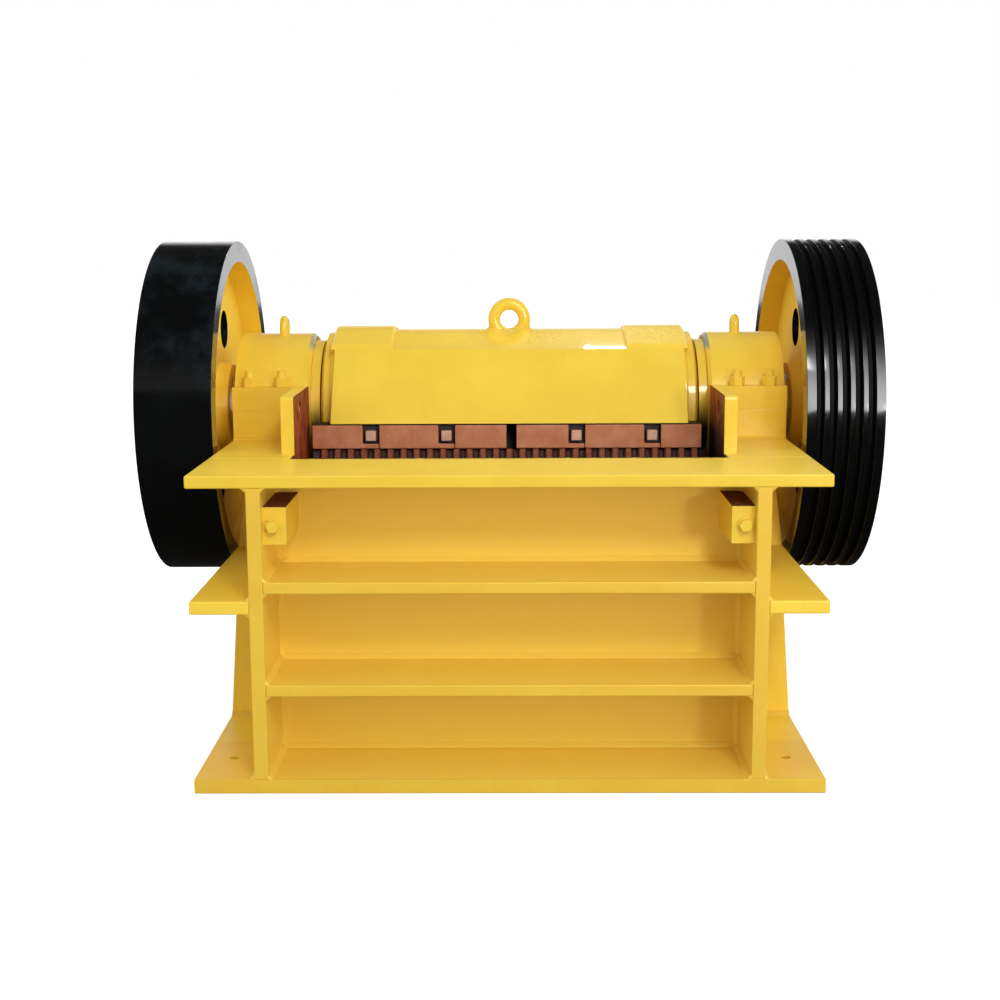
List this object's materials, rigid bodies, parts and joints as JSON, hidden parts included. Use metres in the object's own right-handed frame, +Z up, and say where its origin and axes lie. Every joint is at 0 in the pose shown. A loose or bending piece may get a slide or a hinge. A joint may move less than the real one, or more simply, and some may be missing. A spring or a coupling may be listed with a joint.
{
  "type": "jaw crusher",
  "caption": "Welded single-toggle jaw crusher with a ribbed front wall, toothed jaw plates, an eccentric shaft and two flywheels.",
  "frame": {"origin": "centre of the foundation bolt pattern, on the underside of the base", "axes": "+X along the shaft towards the grooved flywheel, +Y from the fixed jaw towards the toggle end, +Z up"},
  "size_m": [2.183, 1.6, 1.47],
  "materials": {
    "frame_paint": "thick glossy yellow enamel over welded plate, with orange peel and weld beads",
    "flywheel_iron": "glossy black enamel on the rim, yellow enamel on web and hub",
    "manganese_steel": "dull red-brown primer on cast manganese steel",
    "bare_steel": "plain forged and machined steel with thin primer",
    "machined_steel": "turned steel with a light film of oil",
    "spring_steel": "black enamelled spring steel"
  },
  "bodies": {
    "frame": {"base_front": "frame_paint", "base_rear": "frame_paint", "front_wall": "frame_paint", "rear_wall": "frame_paint", "deck_front": "frame_paint", "upper_front_rib": "frame_paint", "lower_front_rib": "frame_paint", "upper_rear_rib": "frame_paint", "lower_rear_rib": "frame_paint", "fixed_jaw_plate": "manganese_steel", "toggle_block": "bare_steel", "toggle_plate": "bare_steel", "left_base_flange": "frame_paint", "right_base_flange": "frame_paint", "left_side_plate": "frame_paint", "right_side_plate": "frame_paint", "left_deck_flange": "frame_paint", "right_deck_flange": "frame_paint", "left_shelf_flange": "frame_paint", "right_shelf_flange": "frame_paint", "left_gussets": "frame_paint", "right_gussets": "frame_paint", "left_bearing_seat": "frame_paint", "right_bearing_seat": "frame_paint", "left_bearing_cap": "frame_paint", "right_bearing_cap": "frame_paint", "left_cap_studs": "frame_paint", "right_cap_studs": "frame_paint", "left_seal_ring": "frame_paint", "right_seal_ring": "frame_paint", "left_cheek_plate": "manganese_steel", "right_cheek_plate": "manganese_steel", "left_bolt_lug": "frame_paint", "right_bolt_lug": "frame_paint", "left_tension_rod": "machined_steel", "right_tension_rod": "machined_steel", "left_tension_spring": "spring_steel", "right_tension_spring": "spring_steel"},
    "rotor": {"eccentric_shaft": "machined_steel", "left_flywheel": "flywheel_iron", "right_flywheel": "flywheel_iron"},
    "swing_jaw": {"swing_jaw": "frame_paint", "moving_jaw_plate": "manganese_steel", "jaw_toggle_seat": "bare_steel", "left_clamp_blocks": "manganese_steel", "right_clamp_blocks": "manganese_steel", "clamp_bolts": "bare_steel", "lifting_eye": "frame_paint"}
  },
  "joints": [
    {"name": "rotor_spin", "type": "hinge", "parent": "frame", "child": "rotor", "pos_m": [0, 0.2, 0.946], "axis": [1, 0, 0], "continuous": true},
    {"name": "jaw_orbit", "type": "hinge", "parent": "rotor", "child": "swing_jaw", "pos_m": [0, 0.2, 0.936], "axis": [1, 0, 0], "continuous": true}
  ],
  "couplings": [
    {"joint": "jaw_orbit", "follows": "rotor_spin", "ratio": -1}
  ]
}
